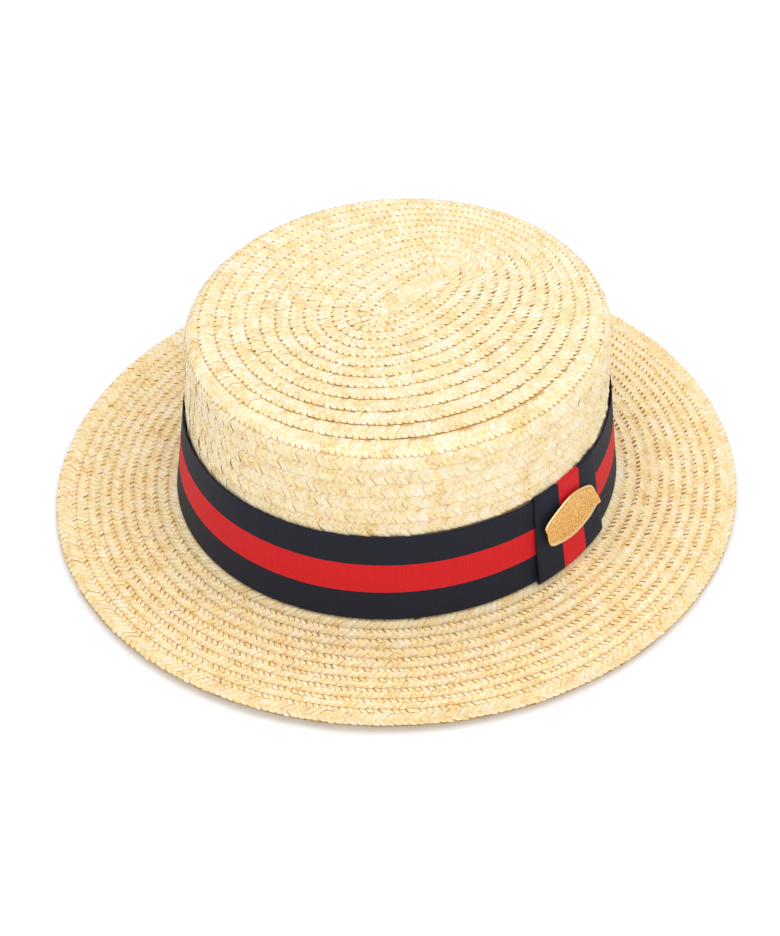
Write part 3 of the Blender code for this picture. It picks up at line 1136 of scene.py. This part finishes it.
def build_plate():
    """The plate upright on the ribbon, square to the crown's wall where it's pinned."""
    line = smooth_outline(PLATE_OUTLINE, 6) * PLATE_HALF
    outset = float(crown_outset(PLATE_HEIGHT)) + PLATE_OUTSET
    middle = oval(outset, PLATE_ANGLE, PLATE_HEIGHT)
    level = unit_rows(np.array([
        math.cos(PLATE_ANGLE) / (HALF_WIDTH + outset),
        math.sin(PLATE_ANGLE) / (HALF_LENGTH + outset), 0]))
    facing = unit_rows(level + np.array([0, 0, PLATE_LEAN]))
    side = unit_rows(np.cross([0, 0, 1], facing))
    up = np.cross(facing, side)
    rings = []
    for inward, depth in PLATE_PROFILE:
        flat = line * (1 - inward / PLATE_HALF)
        rings.append(middle + flat[:, :1] * side + flat[:, 1:] * up + facing * depth)
    made = ring_mesh("gold_plate", rings, True, polished_gold())
    made.data.materials.append(sanded_gold())
    for face in made.data.polygons:
        if min(face.vertices) >= FACE_FROM_RING * len(line):
            face.material_index = 1
    return made


plate = build_plate()
print("plate faces", len(plate.data.polygons))

# %% [markdown]
# ## Joining the pieces to the frame
#
# Every piece rides on the hat's one body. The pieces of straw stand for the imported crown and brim,
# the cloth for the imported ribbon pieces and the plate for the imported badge. The stitches were only
# patterns, so they go.

# %% ride on the frame
for stitch in stitches:
    bpy.data.objects.remove(stitch)
for pieces, node, slot in (
        ((crown_core, tip_plait, side_plait, lining_plait), "crown", "straw"),
        ((brim_core, brim_plait, rim_plait, under_plait), "brim", "brim_straw"),
        ((band,), "ribbon_band", "ribbon"),
        ((wrap,), "ribbon_wrap", "wrap_ribbon"),
        ((plate,), "badge", "gold")):
    for piece in pieces:
        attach(piece, "root")
        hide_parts(node)

# %% [markdown]
# ## Studio
#
# The photo was made on white with large soft lights, so the hat has hardly any shadow. A broad
# light overhead and an even white surround carry most of it. A second one from the front right
# brightens that side, and a weak one from the back right models the straw. The camera was worked
# out from the outlines of rim, ribbon and tip in the photo.

# %% floor, lights and camera
FLOOR_HALF = 6
LIGHT_AIM = (0, 0, 0.04)
CAMERA_PLACE = (0.625292, -0.421765, 0.699201)
CAMERA_VIEW = (-0.612791, 0.409443, -0.675902)
CAMERA_LENS = 90.13

# Columns: name, place, size, power, colour.
LIGHTS = (
    ("key", (1.1, 0.9, 2.0), 1.2, 4.0, (1.0, 0.99, 0.97)),
    ("fill", (1.75, -0.95, 1.7), 1.8, 15.0, (1.0, 1.0, 1.0)),
    ("top", (0.0, 0.0, 2.4), 2.0, 19.0, (1.0, 1.0, 1.0)))


def place_looking(name, data, place, direction):
    """An object at a place that looks in a direction."""
    obj = link_object(name, data)
    obj.location = place
    obj.rotation_mode = "QUATERNION"
    obj.rotation_quaternion = Vector(direction).to_track_quat("-Z", "Y")
    return obj


def add_floor():
    mesh = bpy.data.meshes.new("floor")
    corners = [(-1, -1), (1, -1), (1, 1), (-1, 1)]
    mesh.from_pydata([(FLOOR_HALF * x, FLOOR_HALF * y, 0) for x, y in corners], [], [(0, 1, 2, 3)])
    material, _, look = new_material("studio_floor", 0.9)
    look["Base Color"].default_value = (0.93, 0.93, 0.94, 1)
    look["Specular IOR Level"].default_value = 0.1
    mesh.materials.append(material)
    link_object("floor", mesh)


def add_surround():
    world = bpy.data.worlds.new("surround")
    world.use_nodes = True
    sky = world.node_tree.nodes["Background"].inputs
    sky["Color"].default_value = (0.96, 0.98, 1.0, 1)
    sky["Strength"].default_value = 0.76
    bpy.context.scene.world = world


def add_lights():
    for name, place, size, power, colour in LIGHTS:
        data = bpy.data.lights.new(name, "AREA")
        data.size = size
        data.energy = power
        data.color = colour
        place_looking(name, data, place, Vector(LIGHT_AIM) - Vector(place))


def add_camera():
    data = bpy.data.cameras.new("camera")
    data.lens = CAMERA_LENS
    data.clip_start = 0.05
    data.clip_end = 50
    bpy.context.scene.camera = place_looking("camera", data, CAMERA_PLACE, CAMERA_VIEW)


add_floor()
add_surround()
add_lights()
add_camera()
bpy.context.scene.view_settings.view_transform = "Standard"
